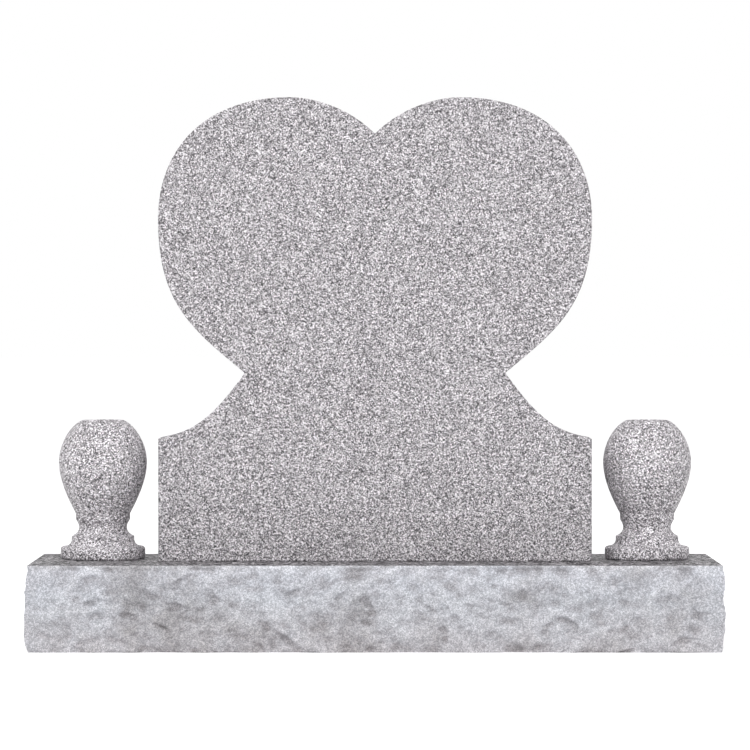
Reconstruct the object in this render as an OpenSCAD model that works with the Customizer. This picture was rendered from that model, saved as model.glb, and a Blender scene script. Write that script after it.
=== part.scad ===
// Heart-topped headstone: an upright tablet on a long rock-pitched base, with a turned vase at
// each end. Lengths are in millimetres. The origin is the centre of the base's underside, +Z is
// up, and the face of the tablet looks along -Y.

/* [Base] */
// Height of the base
base_h = 150; // [100:5:300]
// Ledge of the base in front of the tablet, and the same behind it
ledge = 125; // [90:1:200]
// Length of the base beyond the widest part of each vase
end_ledge = 38.5; // [20:0.5:150]
// How far the rock-pitched faces stand out past the top arris
pitch_out = 11; // [4:1:30]
// Height over which a pitched face swells out from the arris to its full depth
pitch_rise = 34; // [15:1:60]
// Share of a pitched face's depth that is left at its foot
pitch_foot = 0.4; // [0:0.01:1]
// Width of the chip scars on the pitched faces
chip_w = 88; // [50:1:150]
// Height of the chip scars
chip_h = 50; // [30:1:90]
// Share of the relief that varies from scar to scar; the rest is an even swell
chip_relief = 0.72; // [0.2:0.01:0.9]
// Which pattern of scars is struck
chip_seed = 21; // [1:1:99]

/* [Tablet] */
// Width of the tablet, across the heart and across the pedestal
tablet_w = 762; // [600:1:1000]
// Height of the tablet to the top of its two lobes
tablet_h = 815; // [670:1:1100]
// Thickness of the slab
tablet_t = 100; // [60:1:200]

/* [Heart] */
// Distance of the top of each lobe from the centre line
lobe_x = 150; // [110:1:200]
// How far the cleft runs down below the tops of the lobes
cleft_depth = 64; // [30:1:120]
// Slope of the lobes where they meet in the cleft, from the horizontal
cleft_angle = 45; // [25:1:60]
// Height at which the heart is widest
widest_h = 601; // [500:1:660]

/* [Pedestal] */
// Half the width between the two waist notches
waist_x = 229; // [170:1:280]
// Height of the waist notches
waist_h = 331; // [275:1:400]
// Slope of the heart's flank where it runs into the notch, from the horizontal
flank_angle = 40; // [25:1:60]
// Slope of the scooped shoulder where it leaves the notch
scoop_angle = 54; // [35:1:70]
// Height of the shoulders' outer corners
shoulder_h = 216; // [150:1:260]
// Slope of the scooped shoulder where it reaches its outer corner
shoulder_angle = 8; // [0:1:20]

/* [Vases] */
// Clear gap between the side of the tablet and the widest part of a vase
vase_gap = 24.5; // [5:0.5:80]
// How far the vases stand behind the middle of the base
vase_back = 30; // [0:1:30]
// Radius of the round foot
foot_r = 75; // [62:0.5:90]
// Height of the foot's straight edge
foot_h = 22.5; // [12:1:40]
// Rounding of the foot's two edges
foot_round = 5.5; // [1:0.5:6]
// Height of the cove between the foot and the bead
cove_h = 12; // [6:1:20]
// Radius of the bead above the foot
bead_r = 55.5; // [49:0.5:58]
// Height of the bead
bead_h = 6; // [3:1:12]
// Height of the hollow below the narrowest point of the neck
neck_lower_h = 16; // [8:1:24]
// Radius of the neck at its narrowest
neck_r = 42.5; // [35:0.5:48]
// Height of the hollow above the narrowest point of the neck
neck_upper_h = 14; // [8:1:24]
// Radius of the collar under the bowl
collar_r = 48; // [43:0.5:58]
// Height of the collar
collar_h = 10; // [4:1:16]
// Slope of the bowl where it leaves the collar, from the horizontal
bowl_angle = 62; // [50:1:75]
// Height from the collar to the bowl's widest point
bowl_lower_h = 91; // [75:1:130]
// Radius of the bowl at its widest
bowl_r = 78; // [64:0.5:95]
// Height from the bowl's widest point to the mouth
bowl_upper_h = 75; // [60:1:110]
// Radius of the mouth's outer edge
mouth_r = 38; // [36:0.5:46]
// Slope of the bowl where it reaches the mouth
mouth_angle = 30; // [15:1:45]
// Radius of the bore drilled for a flower liner
bore_r = 30; // [20:0.5:34]
// Depth of the bore
bore_depth = 150; // [80:1:185]

/* [Hidden] */

granite = "#b2afb2";
dark_granite = "#8f8e92";
curve_steps = 24;
turn_steps = 10;
trim = 10;
cell = 25;

vase_h = foot_h + cove_h + bead_h + neck_lower_h + neck_upper_h + collar_h
    + bowl_lower_h + bowl_upper_h;
vase_r = max(foot_r, bowl_r);
vase_x = tablet_w / 2 + vase_gap + vase_r;
base_w = 2 * (vase_x + vase_r + end_ledge);
base_d = tablet_t + 2 * ledge;

// ---------------------------------------------------------------- curves

// Points of a smooth curve from a to b, without b itself. It leaves a along the handle u and
// comes into b along the handle v, and each handle is an offset from its own end.
function curve(a, u, b, v, steps = curve_steps) = [
    for (i = [0:steps - 1])
        let (t = i / steps, s = 1 - t)
        s * s * s * a + 3 * s * s * t * (a + u) + 3 * s * t * t * (b + v) + t * t * t * b
];

// Points of a quarter of an ellipse about c, with half axes a and b, from angle "from".
function quarter(c, a, b, from) = [
    for (i = [0:turn_steps])
        let (angle = from + 90 * i / turn_steps)
        c + [a * cos(angle), b * sin(angle)]
];

function heading(angle) = [cos(angle), sin(angle)];
function reversed(list) = [for (i = [len(list) - 1:-1:0]) list[i]];

// ---------------------------------------------------------------- base

// A pitched face is knocked off with a chisel, one chip at a time. Each scar is a shallow dish,
// so the face is the lowest of all the dishes, with ridges where two of them meet.
chip_cols = ceil((base_w + base_d) / chip_w) + 3;
chip_rows = ceil(base_h / chip_h) + 3;
jitter = [for (side = [0:3]) rands(-0.38, 0.38, 2 * chip_cols * chip_rows, chip_seed + side)];
set_back = [for (side = [0:3]) rands(0, 0.75, chip_cols * chip_rows, chip_seed + 10 + side)];

// How deep the dish with its centre in cell (i, j) leaves the point (u, v), in cells.
function dish(side, i, j, u, v) =
    let (
        k = i * chip_rows + j,
        du = u - i - 0.5 - jitter[side][2 * k],
        dv = v - j - 0.5 - jitter[side][2 * k + 1]
    )
    set_back[side][k] + du * du + dv * dv;

// The scarred part of the relief at distance s along a side and height z: about 0 to 1.
function scars(side, s, z) =
    let (
        u = s / chip_w + 1,
        v = z / chip_h + 1,
        near = [
            for (i = [floor(u) - 1:floor(u) + 1], j = [floor(v) - 1:floor(v) + 1])
                dish(side, i, j, u, v)
        ]
    )
    min(near);

// The even swell of a face: nothing at the arris, full below it, and a little less at the foot.
function swell(z) =
    let (
        down = min(1, (base_h - z) / pitch_rise),
        foot = min(1, z / pitch_rise)
    )
    sqrt(1 - pow(1 - down, 2)) * (pitch_foot + (1 - pitch_foot) * sqrt(1 - pow(1 - foot, 2)));

function relief(side, s, z) = z >= base_h ? 0
    : swell(z) * (1 - chip_relief + chip_relief * scars(side, s, z));

side_length = [base_w, base_d, base_w, base_d];
side_cells = [for (length = side_length) ceil(length / cell)];
side_normal = [[0, -1], [1, 0], [0, 1], [-1, 0]];
side_start = [
    [-base_w / 2, -base_d / 2], [base_w / 2, -base_d / 2],
    [base_w / 2, base_d / 2], [-base_w / 2, base_d / 2]
];
levels = ceil(base_h / cell * 1.5);
heights = [-trim, for (j = [0:levels]) base_h * j / levels, base_h + trim];

// The highest ridge of each side stands exactly pitch_out past the arris.
side_scale = [
    for (side = [0:3])
        pitch_out / max([
            for (i = [0:side_cells[side]], z = heights)
                relief(side, side_length[side] * i / side_cells[side], max(0, z))
        ])
];

function face_out(side, s, z) = side_scale[side] * relief(side, s, max(0, z));

// One level of the block, counter-clockwise from the front left corner. A corner belongs to both
// of its sides and is pushed out along both.
function ring(z) = [
    for (side = [0:3], i = [0:side_cells[side] - 1])
        let (
            before = (side + 3) % 4,
            along = [-side_normal[side][1], side_normal[side][0]],
            s = side_length[side] * i / side_cells[side],
            corner = i == 0 ? face_out(before, side_length[before], z) : 0,
            p = side_start[side] + s * along + face_out(side, s, z) * side_normal[side]
                + corner * side_normal[before]
        )
        [p[0], p[1], z]
];

module rock_pitched_block() {
    n = len(ring(0));
    top = n * (len(heights) - 1);
    points = [
        for (z = heights) each ring(z),
        [0, 0, heights[0]],
        [0, 0, heights[len(heights) - 1]]
    ];
    walls = [
        for (j = [0:len(heights) - 2], i = [0:n - 1])
            let (a = j * n + i, b = j * n + (i + 1) % n)
            each (i + j) % 2 == 0
                ? [[a, a + n, b], [b, a + n, b + n]]
                : [[a, a + n, b + n], [a, b + n, b]]
    ];
    underside = [for (i = [0:n - 1]) [i, (i + 1) % n, top + n]];
    upper_side = [for (i = [0:n - 1]) [top + (i + 1) % n, top + i, top + n + 1]];
    polyhedron(points, concat(underside, upper_side, walls));
}

// The block is sawn flat above and below its rock-pitched sides.
module base() {
    reach = 2 * (pitch_out + trim);
    color(dark_granite)
        intersection() {
            rock_pitched_block();
            translate([-(base_w + reach) / 2, -(base_d + reach) / 2, 0])
                cube([base_w + reach, base_d + reach, base_h]);
        }
}

// ---------------------------------------------------------------- tablet

// The right half of the outline, from the cleft down to the foot, with Z as the second
// coordinate. Each handle is a share of the span that its curve crosses.
function half_outline() =
    let (
        cleft = [0, tablet_h - cleft_depth],
        lobe = [lobe_x, tablet_h],
        widest = [tablet_w / 2, widest_h],
        waist = [waist_x, waist_h],
        shoulder = [tablet_w / 2, shoulder_h],
        crown = norm(lobe - cleft),
        flank = norm(widest - waist),
        scoop = norm(shoulder - waist)
    )
    concat(
        curve(cleft, 0.39 * crown * heading(cleft_angle), lobe, [-0.27 * crown, 0]),
        curve(lobe, [0.635 * (widest[0] - lobe[0]), 0], widest, [0, 0.587 * (lobe[1] - widest[1])]),
        curve(widest, [0, -0.486 * flank], waist, 0.384 * flank * heading(flank_angle)),
        curve(waist, 0.4 * scoop * heading(-scoop_angle),
            shoulder, 0.376 * scoop * heading(180 - shoulder_angle)),
        [shoulder, [tablet_w / 2, 0]]
    );

module tablet() {
    right = half_outline();
    left = [for (p = reversed(right)) if (p[0] > 0) [-p[0], p[1]]];
    color(granite)
        translate([0, tablet_t / 2, base_h])
            rotate([90, 0, 0])
                linear_extrude(tablet_t) polygon(concat(right, left));
}

// ---------------------------------------------------------------- vases

// Half of a vase's section, from the middle of its underside out, up and back to the axis.
function vase_section() =
    let (
        cove_top = foot_h + cove_h,
        bead = [bead_r, cove_top + bead_h],
        neck = [neck_r, bead[1] + neck_lower_h],
        collar_foot = [collar_r, neck[1] + neck_upper_h],
        collar = [collar_r, collar_foot[1] + collar_h],
        widest = [bowl_r, collar[1] + bowl_lower_h],
        mouth = [mouth_r, vase_h],
        below = norm(neck - bead),
        above = norm(collar_foot - neck),
        lower = norm(widest - collar),
        upper = norm(mouth - widest)
    )
    concat(
        [[0, 0]],
        quarter([foot_r - foot_round, foot_round], foot_round, foot_round, -90),
        quarter([foot_r - foot_round, foot_h - foot_round], foot_round, foot_round, 0),
        reversed(quarter([foot_r - foot_round, cove_top], foot_r - foot_round - bead_r, cove_h, 180)),
        curve(bead, 0.45 * below * heading(155), neck, [0, -0.4 * below], turn_steps),
        curve(neck, [0, 0.42 * above], collar_foot, 0.35 * above * heading(-115), turn_steps),
        [collar_foot],
        curve(collar, 0.25 * lower * heading(bowl_angle), widest, [0, -0.35 * lower]),
        curve(widest, [0, 0.38 * upper], mouth, 0.3 * upper * heading(-mouth_angle)),
        [mouth, [0, vase_h]]
    );

module vase() {
    difference() {
        rotate_extrude($fn = 96) polygon(vase_section());
        translate([0, 0, vase_h - bore_depth])
            cylinder(r = bore_r, h = bore_depth + trim, $fn = 64);
    }
}

module vase_at(side) {
    color(granite) translate([side * vase_x, vase_back, base_h]) vase();
}

module vase_left() { vase_at(-1); }
module vase_right() { vase_at(1); }

base();
tablet();
vase_left();
vase_right();
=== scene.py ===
"""A heart-topped granite headstone: a honed tablet on a rock-pitched base, with two turned vases.

Lengths are in metres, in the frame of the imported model: +Z up, and the tablet faces -Y.
"""

import math

import bmesh
import bpy
import numpy as np
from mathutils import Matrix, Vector
from mathutils.bvhtree import BVHTree


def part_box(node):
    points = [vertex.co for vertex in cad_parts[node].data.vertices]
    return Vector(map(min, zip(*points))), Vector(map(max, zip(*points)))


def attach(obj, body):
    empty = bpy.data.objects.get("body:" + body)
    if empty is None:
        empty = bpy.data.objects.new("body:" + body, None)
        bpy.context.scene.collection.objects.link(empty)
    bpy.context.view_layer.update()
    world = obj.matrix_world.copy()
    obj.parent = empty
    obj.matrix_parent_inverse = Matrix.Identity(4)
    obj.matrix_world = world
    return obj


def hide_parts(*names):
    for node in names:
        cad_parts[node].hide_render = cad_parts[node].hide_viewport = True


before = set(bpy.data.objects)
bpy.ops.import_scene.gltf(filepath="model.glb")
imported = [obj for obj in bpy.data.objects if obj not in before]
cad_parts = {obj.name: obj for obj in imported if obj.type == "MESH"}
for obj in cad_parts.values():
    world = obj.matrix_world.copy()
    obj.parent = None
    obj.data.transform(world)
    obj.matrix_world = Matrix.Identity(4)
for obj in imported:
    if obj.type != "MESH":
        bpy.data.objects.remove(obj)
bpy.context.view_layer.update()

bl_info = {
    "name": "Heart Headstone",
    "version": (1, 0, 0),
    "blender": (4, 5, 0),
    "location": "3D View > Sidebar > Headstone",
    "description": "Builds a granite heart headstone with its base and vases, and a plain stage",
    "category": "Object",
}

BODY = "root"
MM = 0.001
WELD = 0.01 * MM
WHITE = (1, 1, 1, 1)
BASE_LOW, BASE_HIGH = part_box("base")


def linear(hex_colour):
    """The linear colour of an sRGB hex value such as #b2afb2."""
    parts = [int(hex_colour[i:i + 2], 16) / 255 for i in (1, 3, 5)]
    return tuple(c / 12.92 if c <= 0.04045 else ((c + 0.055) / 1.055) ** 2.4 for c in parts)


# ------------------------------------------------------------------ settings

def length(name, description, default_mm):
    """A length property, given in millimetres and held in metres."""
    return bpy.props.FloatProperty(
        name=name, description=description, default=default_mm * MM, min=0, unit="LENGTH")


def colour(name, description, default_hex):
    """A colour property, given as an sRGB hex value."""
    return bpy.props.FloatVectorProperty(
        name=name, description=description, default=linear(default_hex),
        size=3, min=0, max=1, subtype="COLOR")


def share(name, description, default):
    """A plain number from 0 to 1."""
    return bpy.props.FloatProperty(
        name=name, description=description, default=default, min=0, max=1, subtype="FACTOR")


def count(name, description, default):
    """A whole number of one or more."""
    return bpy.props.IntProperty(name=name, description=description, default=default, min=1)


class GraniteSettings(bpy.types.PropertyGroup):
    """The minerals of the granite and the size of its grain."""

    grain: length("Grain", "Width of a crystal of feldspar or quartz", 1.9)
    fleck: length("Fleck", "Width of a flake of black mica", 1.6)
    mica: colour("Mica", "Black mica flakes", "#1c1a1c")
    quartz: colour("Quartz", "Grey, glassy quartz", "#585458")
    feldspar: colour("Feldspar", "Pale feldspar crystals", "#a5a1a5")
    bright: colour("Bright feldspar", "The whitest feldspar crystals", "#f6f2f6")
    bruised: colour("Bruised stone", "Stone crushed by the chisel on the pitched faces", "#e8eaee")


class TabletSettings(bpy.types.PropertyGroup):
    """The upright stone."""

    arris: length("Arris", "Width of the eased edges", 1.8)
    arris_steps: count("Arris steps", "Faces across an eased edge", 3)


class VaseSettings(bpy.types.PropertyGroup):
    """The two turned vases, which share one section."""

    foot_radius: length("Foot radius", "Radius of the round foot", 75)
    foot_height: length("Foot height", "Height of the foot's straight edge", 22.5)
    foot_round: length("Foot rounding", "Rounding of the foot's two edges", 5.5)
    cove_height: length("Cove height", "Height of the cove above the foot", 12)
    bead_radius: length("Bead radius", "Radius of the bead above the cove", 55.5)
    bead_height: length("Bead height", "Height of the bead", 6)
    neck_lower: length("Neck, lower part", "Height of the hollow below the narrowest point", 16)
    neck_radius: length("Neck radius", "Radius at the narrowest point", 42.5)
    neck_upper: length("Neck, upper part", "Height of the hollow above the narrowest point", 14)
    collar_radius: length("Collar radius", "Radius of the collar under the bowl", 48)
    collar_height: length("Collar height", "Height of the collar", 10)
    bowl_lower: length("Bowl, lower part", "Height from the collar to the widest point", 91)
    bowl_radius: length("Bowl radius", "Radius at the widest point", 78)
    bowl_upper: length("Bowl, upper part", "Height from the widest point to the mouth", 75)
    mouth_radius: length("Mouth radius", "Radius of the mouth's outer edge", 38)
    bore_radius: length("Bore radius", "Radius of the bore for a flower liner", 30)
    bore_depth: length("Bore depth", "Depth of the bore", 150)
    edge: length("Eased edge", "Rounding of the mouth's two edges", 1.5)
    segments: count("Segments", "Faces round a vase", 144)


class BaseSettings(bpy.types.PropertyGroup):
    """The rock-pitched base."""

    step: length("Mesh step", "Spacing of the points on the pitched faces", 2.5)
    blend: length("Blend", "Distance over which the frame's facets are smoothed", 7)
    chip_width: length("Chip width", "Width of the larger chips", 62)
    chip_depth: length("Chip depth", "Depth of the larger chips", 11)
    scars: count("Lipped scars", "How many scars with a steep upper lip there are", 75)
    scar_width: length("Scar width", "Half the width of the widest lipped scar", 30)
    scar_height: length("Scar height", "Half the height of the tallest lipped scar", 16)
    scar_depth: length("Scar depth", "Depth of the deepest lipped scar", 9)
    roughness: length("Fracture", "Depth of the broken grain of the stone", 2.1)
    nick: length("Nicks", "Depth of the nicks along the top arris", 0.7)
    corner_reach: length("Corner reach", "How far the truer upright corners reach", 70)
    corner_calm: share("Corner calm", "Share of the relief that the upright corners lose", 0.7)
    seed: count("Seed", "Which pattern of scars is struck", 5)


class StageSettings(bpy.types.PropertyGroup):
    """The floor, the lights and the camera."""

    lens: bpy.props.FloatProperty(
        name="Lens", description="Focal length of the camera in millimetres", default=185.2)
    distance: length("Distance", "From the camera to the base's front arris", 6650)
    height: length("Height", "Height of the camera above the ground", 564)
    aim: length("Aim", "Height of the point that the camera looks at", 479)
    floor: colour("Floor", "Colour of the floor", "#f7f7f7")
    lift: share("Floor lift", "White added to the floor where the camera sees it", 0.45)
    sky: share("Sky", "Strength of the even light from all round", 0.62)
    key: bpy.props.FloatProperty(
        name="Key", description="Power of the soft light high in front", default=570, unit="POWER")
    fill: bpy.props.FloatProperty(
        name="Fill", description="Power of the soft light low in front", default=220, unit="POWER")


class HeadstoneSettings(bpy.types.PropertyGroup):
    """Everything that a user would change."""

    granite: bpy.props.PointerProperty(type=GraniteSettings)
    tablet: bpy.props.PointerProperty(type=TabletSettings)
    vase: bpy.props.PointerProperty(type=VaseSettings)
    base: bpy.props.PointerProperty(type=BaseSettings)
    stage: bpy.props.PointerProperty(type=StageSettings)


# ------------------------------------------------------------------ node helper

def add(tree, kind, settings=None, **inputs):
    """Adds one node to a tree. settings are its own values. inputs are its sockets, each by name
    with an underscore for a space, or by place, such as in0. An input is a plain value, or
    another node's output, which is linked."""
    node = tree.nodes.new(kind)
    for name, value in (settings or {}).items():
        setattr(node, name, value)
    for name, value in inputs.items():
        if name[-1].isdigit():
            socket = node.inputs[int(name.lstrip("in"))]
        else:
            socket = node.inputs[name.replace("_", " ")]
        if isinstance(value, bpy.types.NodeSocket):
            tree.links.new(value, socket)
        else:
            socket.default_value = value
    return node


def rgba(colour_value):
    """A colour with full opacity, as a socket wants it."""
    return (*colour_value, 1)


# ------------------------------------------------------------------ materials

def ramp(tree, value, stops):
    """Turns a value into a colour by (position, colour) stops and returns the colour socket."""
    node = add(tree, "ShaderNodeValToRGB", Fac=value)
    elements = node.color_ramp.elements
    while len(elements) < len(stops):
        elements.new(0.5)
    for element, (position, stop_colour) in zip(elements, stops):
        element.position = position
        element.color = rgba(stop_colour)
    return node.outputs["Color"]


def crystals(tree, width, offset):
    """Random values, one set for each crystal. The crystals are about width across, and noise
    makes their boundaries ragged. Another offset gives other crystals."""
    where = add(tree, "ShaderNodeTexCoord").outputs["Object"]
    moved = add(tree, "ShaderNodeVectorMath", {"operation": "ADD"}, in0=where, in1=(offset,) * 3)
    ragged = add(tree, "ShaderNodeTexNoise", Vector=moved.outputs[0], Scale=0.8 / width, Detail=1)
    shift = add(tree, "ShaderNodeVectorMath", {"operation": "SCALE"},
                in0=ragged.outputs["Color"], Scale=width * 1.1)
    place = add(tree, "ShaderNodeVectorMath", {"operation": "ADD"},
                in0=moved.outputs[0], in1=shift.outputs[0])
    cells = add(tree, "ShaderNodeTexVoronoi", Vector=place.outputs[0], Scale=1 / width)
    return add(tree, "ShaderNodeSeparateColor", Color=cells.outputs["Color"]).outputs


def speckle(tree, granite, mica_share, film=None, cover=0.0, tone=1.0, coarse=1.0):
    """The colour of the granite, and where its flakes of black mica lie among the crystals of
    feldspar and quartz. A film colour covers a share of each mineral's own, tone makes them all
    paler or darker, and coarse widens the grain."""
    film = Vector(film or granite.feldspar)

    def shown(mineral):
        return tuple(Vector(mineral).lerp(film, cover) * tone)

    grain = crystals(tree, granite.grain * coarse, 0.0)
    fleck = crystals(tree, granite.fleck * coarse, 7.3)
    body = ramp(tree, grain["Red"], [
        (0.05, shown(granite.quartz)),
        (0.45, shown(granite.feldspar)),
        (0.95, shown(granite.bright))])
    all_mica, no_mica = mica_share - 0.04, mica_share + 0.08
    flakes = ramp(tree, fleck["Green"], [(all_mica, (1, 1, 1)), (no_mica, (0, 0, 0))])
    mixed = add(tree, "ShaderNodeMix", {"data_type": "RGBA"},
                in0=flakes, in6=body, in7=rgba(shown(granite.mica)))
    return mixed.outputs[2], flakes


def noise(tree, where, width, detail, roughness):
    """Noise with bumps about width apart, which is a little more than one cell of the texture."""
    return add(tree, "ShaderNodeTexNoise", Vector=where, Scale=1.2 / width,
               Detail=detail, Roughness=roughness).outputs["Fac"]


def tinted(tree, tint, *films):
    """A colour socket multiplied by each film's colour socket in turn."""
    for film in films:
        tint = add(tree, "ShaderNodeMix", {"data_type": "RGBA", "blend_type": "MULTIPLY"},
                   in0=1.0, in6=tint, in7=film).outputs[2]
    return tint


def finish(name, build):
    """Makes a material with a Principled BSDF and lets build(tree, shader) fill it in."""
    made = bpy.data.materials.new(name)
    made.use_nodes = True
    tree = made.node_tree
    build(tree, tree.nodes["Principled BSDF"])
    return made


def dress(tree, shader, tint, roughness, bump=None):
    """Gives a shader its colour socket, its roughness and the bump node, where there is one."""
    tree.links.new(tint, shader.inputs["Base Color"])
    shader.inputs["Roughness"].default_value = roughness
    if bump:
        tree.links.new(bump.outputs["Normal"], shader.inputs["Normal"])


def sunk(tree, flakes):
    """A bump that leaves the soft flakes of mica a little lower than the crystals round them."""
    return add(tree, "ShaderNodeBump", {"invert": True},
               Strength=0.15, Distance=0.1 * MM, Height=flakes)


def honed_granite(granite):
    """Honed granite: sawn, then ground with grit until it is flat but has no shine. Salt and
    pepper grey, even all over, with a soft sheen only at a low angle."""
    def build(tree, shader):
        tint, flakes = speckle(tree, granite, mica_share=0.19)
        dress(tree, shader, tint, 0.62, sunk(tree, flakes))
    return finish("granite_honed", build)


def turned_granite(granite):
    """Turned granite: the same stone off a lathe. It is left a little coarser than the honed
    face, so it has no sheen. It is drawn paler than the honed face: painted light that lifts the
    vases, which the tablet and the dark ledge shade, to the brightness of the tablet."""
    def build(tree, shader):
        # tone 1.27 is painted light: the same granite made paler to offset the shade on the vases.
        tint, flakes = speckle(tree, granite, mica_share=0.19, tone=1.27)
        dress(tree, shader, tint, 0.7, sunk(tree, flakes))
    return finish("granite_turned_painted_light", build)


def steeled_granite(granite):
    """Steeled granite: ground with steel shot, which plucks out the mica and leaves dark pits, so
    the grain reads coarser and darker than on the honed faces. This face is seen at a low angle
    that would hide grain of the real size, so the grain is drawn wider."""
    def build(tree, shader):
        tint, _ = speckle(tree, granite, mica_share=0.48, tone=0.84, coarse=2.8)
        dress(tree, shader, tint, 0.55)
        shader.inputs["Specular IOR Level"].default_value = 0.25
    return finish("granite_steeled", build)


def pitched_granite(granite):
    """Rock-pitched granite: broken off with a chisel. Crushed stone clings to it and makes it
    paler than the ground faces, with bluish and warmer clouds. The hollows are drawn darker and
    the ridges paler, which is painted shade and painted light, and the part near the top is drawn
    paler as painted light from above."""
    cloud_width = 150 * MM
    grit_width = 2 * MM

    def build(tree, shader):
        tint, _ = speckle(
            tree, granite, mica_share=0.12, film=granite.bruised, cover=0.5, tone=1.1)
        where = add(tree, "ShaderNodeTexCoord").outputs["Object"]
        cast = ramp(tree, noise(tree, where, cloud_width, 6, 0.65), [
            (0.37, linear("#d2d0cf")),
            (0.5, linear("#f4f4f5")),
            (0.63, linear("#fbfdff"))])
        hollow = add(tree, "ShaderNodeAttribute", {"attribute_name": "hollow"}).outputs["Fac"]
        # Painted shade in the hollows of the relief and painted light on its ridges, read from the
        # hollow attribute.
        painted_relief_shade = ramp(tree, hollow, [
            (0.2, linear("#ffffff")),
            (0.5, linear("#f5f5f6")),
            (0.9, linear("#d6d4d4"))])
        # Painted light: the face is drawn paler towards the top, as if lit from above.
        height = add(tree, "ShaderNodeSeparateXYZ", Vector=where).outputs["Z"]
        up = add(tree, "ShaderNodeMath", {"operation": "DIVIDE"}, in0=height, in1=BASE_HIGH.z)
        painted_top_light = ramp(tree, up.outputs[0], [
            (0.0, linear("#ece9e8")),
            (0.6, linear("#eaebec")),
            (0.8, linear("#eff0f2")),
            (0.93, linear("#f7f8fa")),
            (0.99, linear("#ffffff"))])
        grit = noise(tree, where, grit_width, 3, 0.7)
        bump = add(tree, "ShaderNodeBump", Strength=0.5, Distance=0.6 * MM, Height=grit)
        dress(tree, shader, tinted(tree, tint, cast, painted_relief_shade, painted_top_light), 0.85, bump)
    return finish("granite_rock_pitched", build)


def sawn_granite(granite):
    """Sawn granite, for the underside and the bores: flat and dull, with faint saw lines."""
    line_pitch = 7.854 * MM
    pitch_at_scale_one = 0.1 * math.pi

    def build(tree, shader):
        tint, _ = speckle(tree, granite, mica_share=0.13, tone=0.9)
        where = add(tree, "ShaderNodeTexCoord").outputs["Object"]
        lines = add(tree, "ShaderNodeTexWave", {"bands_direction": "X"}, Vector=where,
                    Scale=pitch_at_scale_one / line_pitch, Distortion=1.5, Detail=2)
        bump = add(tree, "ShaderNodeBump", Strength=0.3, Distance=0.3 * MM,
                   Height=lines.outputs["Fac"])
        dress(tree, shader, tint, 0.8, bump)
    return finish("granite_sawn", build)


def material(name):
    """A finish by name, made the first time that it is asked for."""
    makers = {
        "granite_honed": honed_granite,
        "granite_turned_painted_light": turned_granite,
        "granite_steeled": steeled_granite,
        "granite_rock_pitched": pitched_granite,
        "granite_sawn": sawn_granite,
    }
    return bpy.data.materials.get(name) or makers[name](bpy.context.scene.headstone.granite)


# ------------------------------------------------------------------ mesh helpers

def merged_copy(node):
    """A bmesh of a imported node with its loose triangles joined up."""
    mesh = bmesh.new()
    mesh.from_mesh(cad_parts[node].data)
    bmesh.ops.remove_doubles(mesh, verts=mesh.verts, dist=WELD)
    return mesh


def base_top():
    """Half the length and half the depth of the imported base's flat top, out to its arris."""
    top = [v.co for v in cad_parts["base"].data.vertices if v.co.z > BASE_HIGH.z - 0.1 * MM]
    return Vector((max(p.x for p in top), max(p.y for p in top)))


def new_piece(name, mesh, materials):
    """Links a mesh as an object of its own, with its materials."""
    for each in materials:
        mesh.materials.append(each)
    piece = bpy.data.objects.new(name, mesh)
    bpy.context.scene.collection.objects.link(piece)
    return piece


def settle(piece, node):
    """Rides a finished piece on the one body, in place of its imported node."""
    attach(piece, BODY)
    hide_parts(node)


# ------------------------------------------------------------------ tablet

def build_tablet(settings):
    """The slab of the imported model, with its edges eased."""
    flat = math.radians(0.5)
    sharp = math.radians(25)
    mesh = merged_copy("tablet")
    bmesh.ops.dissolve_limit(mesh, angle_limit=flat, verts=mesh.verts, edges=mesh.edges)
    edges = [e for e in mesh.edges if len(e.link_faces) == 2 and e.calc_face_angle(0) > sharp]
    bmesh.ops.bevel(mesh, geom=edges, offset=settings.arris, offset_type="OFFSET",
                    segments=settings.arris_steps, profile=0.5, affect="EDGES",
                    clamp_overlap=True)
    for face in mesh.faces:
        looks_along_y = abs(face.normal.y) > 0.999
        face.smooth = not looks_along_y
    data = bpy.data.meshes.new("tablet_stone")
    mesh.to_mesh(data)
    mesh.free()
    return new_piece("tablet_stone", data, [material("granite_honed")])


# ------------------------------------------------------------------ vases

def heading(degrees):
    """The unit vector at an angle up from the first axis."""
    return np.array([math.cos(math.radians(degrees)), math.sin(math.radians(degrees))])


def curve(a, u, b, v, steps):
    """Points of a smooth curve from a to b, without b, with the handles u and v."""
    t = np.linspace(0, 1, steps, endpoint=False)[:, None]
    s = 1 - t
    a, b = np.array(a), np.array(b)
    return s ** 3 * a + 3 * s * s * t * (a + u) + 3 * s * t * t * (b + v) + t ** 3 * b


def quarter(centre, across, up, start, steps):
    """Points of a quarter of an ellipse from an angle in degrees on. across and up are its half
    axes."""
    angles = np.radians(np.linspace(start, start + 90, steps + 1))
    return np.array(centre) + np.column_stack([across * np.cos(angles), up * np.sin(angles)])


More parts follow.
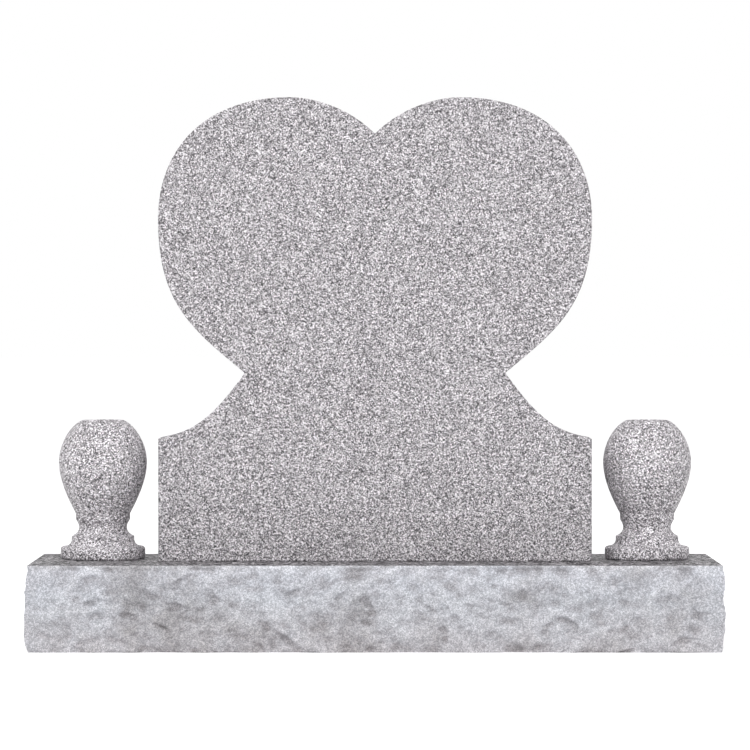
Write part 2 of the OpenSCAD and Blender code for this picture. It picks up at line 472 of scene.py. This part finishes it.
def vase_section(v):
    """Half of a vase's section, from the middle of its underside up and down into its bore."""
    cove_top = v.foot_height + v.cove_height
    bead = np.array([v.bead_radius, cove_top + v.bead_height])
    neck = np.array([v.neck_radius, bead[1] + v.neck_lower])
    collar_foot = np.array([v.collar_radius, neck[1] + v.neck_upper])
    collar = np.array([v.collar_radius, collar_foot[1] + v.collar_height])
    widest = np.array([v.bowl_radius, collar[1] + v.bowl_lower])
    top = widest[1] + v.bowl_upper
    mouth = np.array([v.mouth_radius, top])
    below = np.linalg.norm(neck - bead)
    above = np.linalg.norm(collar_foot - neck)
    lower = np.linalg.norm(widest - collar)
    upper = np.linalg.norm(mouth - widest)
    foot = v.foot_radius - v.foot_round
    floor = top - v.bore_depth
    parts = [
        [[0, 0]],
        quarter([foot, v.foot_round], v.foot_round, v.foot_round, -90, 5),
        quarter([foot, v.foot_height - v.foot_round], v.foot_round, v.foot_round, 0, 5),
        quarter([foot, cove_top], foot - v.bead_radius, v.cove_height, 180, 10)[-2::-1],
        curve(bead, 0.45 * below * heading(155), neck, [0, -0.4 * below], 10),
        curve(neck, [0, 0.42 * above], collar_foot, 0.35 * above * heading(-115), 10),
        [collar_foot],
        curve(collar, 0.25 * lower * heading(62), widest, [0, -0.35 * lower], 30),
        curve(widest, [0, 0.38 * upper], mouth, 0.3 * upper * heading(-30), 30)[:-1],
        quarter([v.mouth_radius - v.edge, top - v.edge], v.edge, v.edge, 0, 4)[1:],
        quarter([v.bore_radius + v.edge, top - v.edge], v.edge, v.edge, 90, 4),
        [[v.bore_radius, floor], [0, floor]],
    ]
    return np.vstack(parts)


def turning_tree():
    """Geometry Nodes that turn a section, a string of points in the XZ plane, about the Z axis."""
    tree = bpy.data.node_groups.new("Turned stone", "GeometryNodeTree")
    for name, kind in (("Section", "Geometry"), ("Segments", "Int"), ("Centre", "Vector"),
                       ("Bore starts", "Int"), ("Stone", "Material"), ("Bore", "Material")):
        tree.interface.new_socket(name, in_out="INPUT", socket_type="NodeSocket" + kind)
    tree.interface.new_socket("Turned", in_out="OUTPUT", socket_type="NodeSocketGeometry")
    given = add(tree, "NodeGroupInput").outputs

    def maths(operation, a, b):
        return add(tree, "ShaderNodeMath", {"operation": operation}, in0=a, in1=b).outputs[0]

    size = add(tree, "GeometryNodeAttributeDomainSize", Geometry=given["Section"])
    rows = size.outputs["Point Count"]
    columns = maths("ADD", given["Segments"], 1)
    grid = add(tree, "GeometryNodeMeshGrid", Vertices_X=columns, Vertices_Y=rows)
    index = add(tree, "GeometryNodeInputIndex").outputs[0]
    row = maths("MODULO", index, rows)
    column = maths("FLOOR", maths("DIVIDE", index, rows), 0)
    angle = maths("DIVIDE", maths("MULTIPLY", column, math.tau), given["Segments"])
    point = add(tree, "GeometryNodeInputPosition").outputs[0]
    at_row = add(tree, "GeometryNodeSampleIndex", {"data_type": "FLOAT_VECTOR"},
                 Geometry=given["Section"], Value=point, Index=row).outputs[0]
    turned = add(tree, "ShaderNodeVectorRotate", {"rotation_type": "Z_AXIS"},
                 Vector=at_row, Angle=angle).outputs[0]
    placed = add(tree, "ShaderNodeVectorMath", {"operation": "ADD"}, in0=turned, in1=given["Centre"])
    kept = add(tree, "GeometryNodeCaptureAttribute", Geometry=grid.outputs["Mesh"])
    kept.capture_items.new("FLOAT", "Row")
    tree.links.new(row, kept.inputs["Row"])
    shaped = add(tree, "GeometryNodeSetPosition", Geometry=kept.outputs["Geometry"],
                 Position=placed.outputs[0])
    closed = add(tree, "GeometryNodeMergeByDistance", Geometry=shaped.outputs[0], Distance=WELD)
    smooth = add(tree, "GeometryNodeSetShadeSmooth", Geometry=closed.outputs[0])
    real = add(tree, "GeometryNodeRealizeInstances", Geometry=smooth.outputs[0])
    stone = add(tree, "GeometryNodeSetMaterial", Geometry=real.outputs[0], Material=given["Stone"])
    in_bore = maths("GREATER_THAN", kept.outputs["Row"], given["Bore starts"])
    bored = add(tree, "GeometryNodeSetMaterial", Geometry=stone.outputs[0], Selection=in_bore,
                Material=given["Bore"])
    add(tree, "NodeGroupOutput", Turned=bored.outputs[0])
    return tree


def build_vase(name, node, settings):
    """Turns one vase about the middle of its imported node. The last three points of its section
    are the wall and the floor of its bore."""
    points = [(radius, 0, height) for radius, height in vase_section(settings)]
    low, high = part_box(node)
    data = bpy.data.meshes.new(name + "_section")
    data.from_pydata(points, [(i, i + 1) for i in range(len(points) - 1)], [])
    lathe = bpy.data.objects.new(name + "_lathe", data)
    bpy.context.scene.collection.objects.link(lathe)
    modifier = lathe.modifiers.new("Turned stone", "NODES")
    modifier.node_group = bpy.data.node_groups.get("Turned stone") or turning_tree()
    values = {
        "Segments": settings.segments,
        "Centre": ((low.x + high.x) / 2, (low.y + high.y) / 2, low.z),
        "Bore starts": len(points) - 3,
        "Stone": material("granite_turned_painted_light"),
        "Bore": material("granite_sawn"),
    }
    for item in modifier.node_group.interface.items_tree:
        if item.in_out == "INPUT" and item.name in values:
            modifier[item.identifier] = values[item.name]
    depsgraph = bpy.context.evaluated_depsgraph_get()
    turned = bpy.data.meshes.new_from_object(lathe.evaluated_get(depsgraph))
    bpy.data.objects.remove(lathe)
    turned.name = name
    # The section's own empty material slot comes first.
    turned.materials.pop(index=0)
    turned.set_sharp_from_angle(angle=math.radians(40))
    return new_piece(name, turned, [])


# ------------------------------------------------------------------ base

def ripple(rng, columns, rows, wide, tall):
    """Smooth noise from -1 to 1 on a grid that closes on itself sideways. wide and tall are the
    size of its bumps in grid steps."""
    across = max(4, round(columns / wide))
    up = max(3, math.ceil(rows / tall) + 3)
    knots = rng.uniform(-1, 1, (up, across))
    x = np.arange(columns) / columns * across
    y = np.arange(rows) / tall + rng.uniform(0, 1)
    i, j = np.floor(x).astype(int), np.floor(y).astype(int)
    fx, fy = x - i, y - j
    fx, fy = fx * fx * (3 - 2 * fx), (fy * fy * (3 - 2 * fy))[:, None]
    left, right = i % across, (i + 1) % across
    lower = knots[j][:, left] * (1 - fx) + knots[j][:, right] * fx
    upper = knots[j + 1][:, left] * (1 - fx) + knots[j + 1][:, right] * fx
    return lower * (1 - fy) + upper * fy


def dishes(rng, columns, rows, wide, tall):
    """The lowest of many shallow dishes on a grid that closes on itself sideways: about 0 in the
    deepest, and 1 on the highest ridges. wide and tall are a dish's size in grid steps."""
    across = max(4, round(columns / wide))
    up = math.ceil(rows / tall) + 4
    aside = rng.uniform(-0.45, 0.45, (2, up, across))
    set_back = rng.uniform(0, 0.6, (up, across))
    bend = [0.8 * ripple(rng, columns, rows, wide * 2, tall * 2)
            + 0.22 * ripple(rng, columns, rows, wide * 0.5, tall * 0.5) for _ in range(2)]
    u = np.arange(columns)[None, :] / columns * across + bend[0]
    v = np.arange(rows)[:, None] / tall + 2 + bend[1]
    i, j = np.floor(u).astype(int), np.floor(v).astype(int)
    lowest = np.full((rows, columns), np.inf)
    for k in range(9):
        cell_i, cell_j = i + k % 3 - 1, j + k // 3 - 1
        key = (cell_j, cell_i % across)
        du = u - cell_i - 0.5 - aside[0][key]
        dv = v - cell_j - 0.5 - aside[1][key]
        lowest = np.minimum(lowest, set_back[key] + du * du + dv * dv)
    return lowest


def soften(field, reach):
    """Blurs a grid that closes on itself sideways, over a reach in grid steps."""
    span = int(3 * reach)
    weights = np.exp(-0.5 * (np.arange(-span, span + 1) / reach) ** 2)
    weights /= weights.sum()
    sideways = sum(w * np.roll(field, k - span, axis=1) for k, w in enumerate(weights))
    padded = np.pad(sideways, ((span, span), (0, 0)), mode="edge")
    rows = field.shape[0]
    return sum(w * padded[k:k + rows] for k, w in enumerate(weights))


def ease(low, high, value):
    """0 up to low, 1 from high on, and a smooth rise between them."""
    t = np.clip((value - low) / (high - low), 0, 1)
    return t * t * (3 - 2 * t)


class PitchedSides:
    """The grid of points on the four pitched sides, counter-clockwise from the front left corner.

    Each column belongs to one side, and the first column of a side is a corner. A field on the
    grid says how far each point stands out past the straight top arris."""

    def __init__(self, settings):
        self.settings = settings
        self.rng = np.random.default_rng(settings.seed)
        half = base_top()
        self.corners = [Vector((-half.x, -half.y)), Vector((half.x, -half.y)),
                        Vector((half.x, half.y)), Vector((-half.x, half.y))]
        self.normals = [Vector((0, -1)), Vector((1, 0)), Vector((0, 1)), Vector((-1, 0))]
        self.counts = [round((self.corners[(k + 1) % 4] - self.corners[k]).length / settings.step)
                       for k in range(4)]
        self.columns = sum(self.counts)
        self.rows = round((BASE_HIGH.z - BASE_LOW.z) / settings.step) + 1
        self.heights = np.linspace(BASE_LOW.z, BASE_HIGH.z, self.rows)

    def rough_form(self):
        """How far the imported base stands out, smoothed over its facets. It is measured by rays
        that come in square to each side, and stay just inside its ends and its two edges."""
        mesh = merged_copy("base")
        tree = BVHTree.FromBMesh(mesh)
        mesh.free()
        field = np.zeros((self.rows, self.columns))
        inset = 0.2 * self.settings.step
        away = 200 * MM
        column = 0
        for side in range(4):
            start, end = self.corners[side], self.corners[(side + 1) % 4]
            normal = self.normals[side]
            for i in range(self.counts[side]):
                along = min(max(i / self.counts[side], 0.005), 0.995)
                foot = start.lerp(end, along)
                for row, z in enumerate(self.heights):
                    level = min(max(z, BASE_LOW.z + inset), BASE_HIGH.z - inset)
                    origin = Vector((*(foot + normal * away), level))
                    hit = tree.ray_cast(origin, Vector((*-normal, 0)))[0]
                    field[row, column] = (hit.xy - foot).dot(normal)
                column += 1
        return soften(field, self.settings.blend / self.settings.step)

    def chips(self):
        """Shallow dished chips in two sizes, with crisp ridges where they meet. They are wider
        than they are tall."""
        s = self.settings
        total = np.zeros((self.rows, self.columns))
        for part in (1, 0.36):
            wide = s.chip_width * part / s.step
            tall = wide * 0.62
            total += s.chip_depth * part * dishes(self.rng, self.columns, self.rows, wide, tall)
        return total

    def scars(self):
        """How deep the lipped scars cut in. Each lies at a lean and is bowed. It has a steep upper
        lip and runs out below, and most of them are small."""
        s = self.settings
        cut = np.zeros((self.rows, self.columns))
        for _ in range(s.scars):
            size = self.rng.uniform(0.3, 1) ** 1.3
            wide = s.scar_width * size / s.step
            tall = s.scar_height * size * self.rng.uniform(0.7, 1.2) / s.step
            deep = s.scar_depth * size * self.rng.uniform(0.5, 1)
            middle = int(self.rng.uniform(0, self.columns))
            level = int(self.rng.uniform(-0.05, 0.97) * self.rows)
            lean = self.rng.normal(0, 0.5)
            bow = self.rng.uniform(0.1, 0.6)
            reach = int(1.5 * max(wide, tall)) + 2
            low, high = max(0, level - reach), min(self.rows, level + reach)
            columns = np.arange(middle - reach, middle + reach + 1)
            across = (columns - middle)[None, :]
            up = (np.arange(low, high) - level)[:, None]
            x = (across * math.cos(lean) + up * math.sin(lean)) / wide
            y = (up * math.cos(lean) - across * math.sin(lean)) / tall + bow * x * x
            shape = np.clip(1 - x * x, 0, 1) * ease(-1.3, 0.55, y) * (1 - ease(0.55, 0.8, y))
            place = (slice(low, high), columns % self.columns)
            cut[place] = np.maximum(cut[place], deep * shape)
        return cut

    def fracture(self):
        """The broken grain of the stone: noise in sizes that halve, given in millimetres with
        their shares of the depth, down to the spacing of the mesh."""
        total = np.zeros((self.rows, self.columns))
        for size, part in ((30, 1.0), (15, 0.62), (8, 0.42), (4.4, 0.3), (2.5, 0.22)):
            tall = size * MM / self.settings.step
            total += part * ripple(self.rng, self.columns, self.rows, tall * 1.3, tall)
        return total * self.settings.roughness

    def kept(self):
        """The share of the relief that each column keeps. The upright corners are struck truer."""
        s = self.settings
        half = self.columns // 2
        steps = np.arange(self.columns)[None, :] - np.cumsum(self.counts)[:, None]
        apart = np.abs((steps + half) % self.columns - half).min(axis=0) * s.step
        return 1 - s.corner_calm + s.corner_calm * ease(0, s.corner_reach, apart)

    def outline(self, field):
        """The points of every row, with each side stretched to reach its displaced corners."""
        starts = np.cumsum([0] + self.counts)
        points = np.zeros((self.rows, self.columns, 3))
        points[:, :, 2] = self.heights[:, None]
        for side in range(4):
            first, last = starts[side], starts[side + 1]
            normal = np.array(self.normals[side])
            before = np.array(self.normals[(side + 3) % 4])
            after = np.array(self.normals[(side + 1) % 4])
            start = np.array(self.corners[side]) + field[:, [first]] * before
            end = np.array(self.corners[(side + 1) % 4]) + field[:, [last % self.columns]] * after
            along = (np.arange(self.counts[side]) / self.counts[side])[None, :, None]
            line = start[:, None] * (1 - along) + end[:, None] * along
            points[:, first:last, :2] = line + field[:, first:last, None] * normal
        return points


def pitched_relief(sides):
    """How far each point of the pitched sides stands out, and how far it lies in a hollow, from 0
    on a ridge to 1. The relief dies out towards the arris, which has only shallow nicks, and the
    proudest parts are flattened."""
    arris_reach, proud, hollow_depth = 9 * MM, 7 * MM, 6 * MM
    down = (BASE_HIGH.z - sides.heights)[:, None]
    fade = ease(0, arris_reach, down)
    swell = sides.rough_form() * ease(-2 * MM, 5 * MM, down)
    chips = sides.chips()
    relief = chips - np.percentile(chips, 90) - sides.scars() + sides.fracture()
    relief = relief.mean() + (relief - relief.mean()) * sides.kept()
    ripples = ripple(sides.rng, sides.columns, sides.rows, 9, 9)
    nicks = np.clip(ripples - 0.25, 0, 1) * sides.settings.nick
    field = swell + relief * fade - nicks * (1 - fade)
    field -= 0.75 * np.maximum(field - proud, 0)
    # The pitched material paints shade into the hollows by this value.
    hollow = np.clip(0.5 + (soften(relief, 4) - relief) / hollow_depth, 0, 1)
    return field, hollow


def build_base(settings):
    """The pitched sides, closed by the flat top and the flat underside."""
    sides = PitchedSides(settings)
    field, hollow = pitched_relief(sides)
    points = sides.outline(field)
    rows, columns = sides.rows, sides.columns
    i = np.arange(rows * columns).reshape(rows, columns)
    right = np.roll(i, -1, axis=1)
    walls = np.stack([i[:-1], right[:-1], right[1:], i[1:]], axis=-1).reshape(-1, 4)
    faces = walls.tolist() + [i[0, ::-1].tolist(), i[-1].tolist()]
    data = bpy.data.meshes.new("base_stone")
    data.from_pydata(points.reshape(-1, 3).tolist(), [], faces)
    finishes = [material("granite_rock_pitched"), material("granite_steeled"),
                material("granite_sawn")]
    pitched, top, underside = range(3)
    slots = [pitched] * len(walls) + [underside, top]
    data.polygons.foreach_set("material_index", slots)
    data.polygons.foreach_set("use_smooth", [True] * len(walls) + [False, False])
    depth = data.attributes.new("hollow", "FLOAT", "POINT")
    depth.data.foreach_set("value", hollow.reshape(-1).astype(np.float32))
    data.update()
    data.set_sharp_from_angle(angle=math.radians(75))
    return new_piece("base_stone", data, finishes)


# ------------------------------------------------------------------ stage

def seen_directly(tree):
    """1 for what the camera sees itself, or in a reflection or through glass, and 0 for light."""
    path = add(tree, "ShaderNodeLightPath").outputs
    seen = path["Is Camera Ray"]
    for kind in ("Is Glossy Ray", "Is Transmission Ray"):
        seen = add(tree, "ShaderNodeMath", {"operation": "ADD", "use_clamp": True},
                   in0=seen, in1=path[kind]).outputs[0]
    return seen


def build_world(settings):
    """Even light from all round, seen as white."""
    world = bpy.data.worlds.new("Studio")
    bpy.context.scene.world = world
    world.use_nodes = True
    tree = world.node_tree
    tree.nodes.clear()
    sky = add(tree, "ShaderNodeBackground", Color=WHITE, Strength=settings.sky)
    white = add(tree, "ShaderNodeBackground", Color=WHITE, Strength=1)
    both = add(tree, "ShaderNodeMixShader",
               in0=seen_directly(tree), in1=sky.outputs[0], in2=white.outputs[0])
    add(tree, "ShaderNodeOutputWorld", Surface=both.outputs[0])


def build_floor(settings):
    """A large white floor, a hair below the stone so that the two faces don't share a plane. What
    the camera sees of it is lifted to the white of the backdrop, and it still shows the
    headstone's shadow."""
    reach = 60
    z = BASE_LOW.z - 0.1 * MM
    corners = [(-reach, -reach, z), (reach, -reach, z), (reach, reach, z), (-reach, reach, z)]
    data = bpy.data.meshes.new("floor")
    data.from_pydata(corners, [], [(0, 1, 2, 3)])

    def build(tree, shader):
        """White emulsion, rolled on: matt, so that only the soft shadow shows on it."""
        tree.nodes.remove(shader)
        matt = add(tree, "ShaderNodeBsdfDiffuse", Color=rgba(settings.floor))
        lift = add(tree, "ShaderNodeMath", {"operation": "MULTIPLY"},
                   in0=seen_directly(tree), in1=settings.lift)
        glow = add(tree, "ShaderNodeEmission", Strength=lift.outputs[0])
        both = add(tree, "ShaderNodeAddShader", in0=matt.outputs[0], in1=glow.outputs[0])
        tree.links.new(both.outputs[0], tree.nodes["Material Output"].inputs["Surface"])

    new_piece("floor", data, [finish("floor_paint", build)])


def build_lights(settings):
    """Two wide soft lights in front: a key high up, a little to the left, and a low fill."""
    wide, tall = 14, 3
    target = Vector((0, 0, 0.4))
    for name, power, place in (("key", settings.key, (-1.5, -7, 9)),
                               ("fill", settings.fill, (0.5, -9, 2.2))):
        lamp = bpy.data.lights.new(name, "AREA")
        lamp.shape = "RECTANGLE"
        lamp.size = wide
        lamp.size_y = tall
        lamp.energy = power
        light = bpy.data.objects.new(name, lamp)
        light.location = place
        aim = target - light.location
        light.rotation_euler = aim.to_track_quat("-Z", "Y").to_euler()
        bpy.context.scene.collection.objects.link(light)


def build_camera(settings):
    """A long lens a little over half a metre above the ground, square to the tablet's face."""
    lens = bpy.data.cameras.new("camera")
    lens.lens = settings.lens
    lens.clip_end = 200
    camera = bpy.data.objects.new("camera", lens)
    front = -base_top().y
    camera.location = (0, front - settings.distance, BASE_LOW.z + settings.height)
    aim = Vector((0, front, BASE_LOW.z + settings.aim)) - camera.location
    camera.rotation_euler = aim.to_track_quat("-Z", "Y").to_euler()
    bpy.context.scene.collection.objects.link(camera)
    bpy.context.scene.camera = camera


# ------------------------------------------------------------------ operators

class HEADSTONE_OT_base(bpy.types.Operator):
    """Build the rock-pitched base"""

    bl_idname = "headstone.base"
    bl_label = "Base"

    def execute(self, context):
        settle(build_base(context.scene.headstone.base), "base")
        return {"FINISHED"}


class HEADSTONE_OT_tablet(bpy.types.Operator):
    """Build the heart-topped tablet"""

    bl_idname = "headstone.tablet"
    bl_label = "Tablet"

    def execute(self, context):
        settle(build_tablet(context.scene.headstone.tablet), "tablet")
        return {"FINISHED"}


class HEADSTONE_OT_vases(bpy.types.Operator):
    """Build the two turned vases"""

    bl_idname = "headstone.vases"
    bl_label = "Vases"

    def execute(self, context):
        for side in ("left", "right"):
            vase = build_vase(f"turned_vase_{side}", f"vase_{side}", context.scene.headstone.vase)
            settle(vase, f"vase_{side}")
        return {"FINISHED"}


class HEADSTONE_OT_stage(bpy.types.Operator):
    """Build the floor, the lights and the camera"""

    bl_idname = "headstone.stage"
    bl_label = "Stage"

    def execute(self, context):
        settings = context.scene.headstone.stage
        context.scene.view_settings.view_transform = "Standard"
        build_world(settings)
        build_floor(settings)
        build_lights(settings)
        build_camera(settings)
        return {"FINISHED"}


class HEADSTONE_PT_panel(bpy.types.Panel):
    """Lists the pieces of the headstone with their settings"""

    bl_label = "Headstone"
    bl_space_type = "VIEW_3D"
    bl_region_type = "UI"
    bl_category = "Headstone"

    def draw(self, context):
        settings = context.scene.headstone
        for operator, group in ((None, "granite"), (HEADSTONE_OT_base, "base"),
                                (HEADSTONE_OT_tablet, "tablet"), (HEADSTONE_OT_vases, "vase"),
                                (HEADSTONE_OT_stage, "stage")):
            box = self.layout.box()
            if operator:
                box.operator(operator.bl_idname)
            values = getattr(settings, group)
            for name in values.bl_rna.properties.keys():
                if name not in {"rna_type", "name"}:
                    box.prop(values, name)


CLASSES = (
    GraniteSettings, TabletSettings, VaseSettings, BaseSettings, StageSettings, HeadstoneSettings,
    HEADSTONE_OT_base, HEADSTONE_OT_tablet, HEADSTONE_OT_vases, HEADSTONE_OT_stage,
    HEADSTONE_PT_panel,
)


def register():
    for each in CLASSES:
        bpy.utils.register_class(each)
    bpy.types.Scene.headstone = bpy.props.PointerProperty(type=HeadstoneSettings)


def unregister():
    del bpy.types.Scene.headstone
    for each in reversed(CLASSES):
        bpy.utils.unregister_class(each)


def main():
    """Builds the headstone and its stage."""
    register()
    bpy.ops.headstone.stage()
    bpy.ops.headstone.base()
    bpy.ops.headstone.tablet()
    bpy.ops.headstone.vases()


if __name__ == "__main__":
    main()
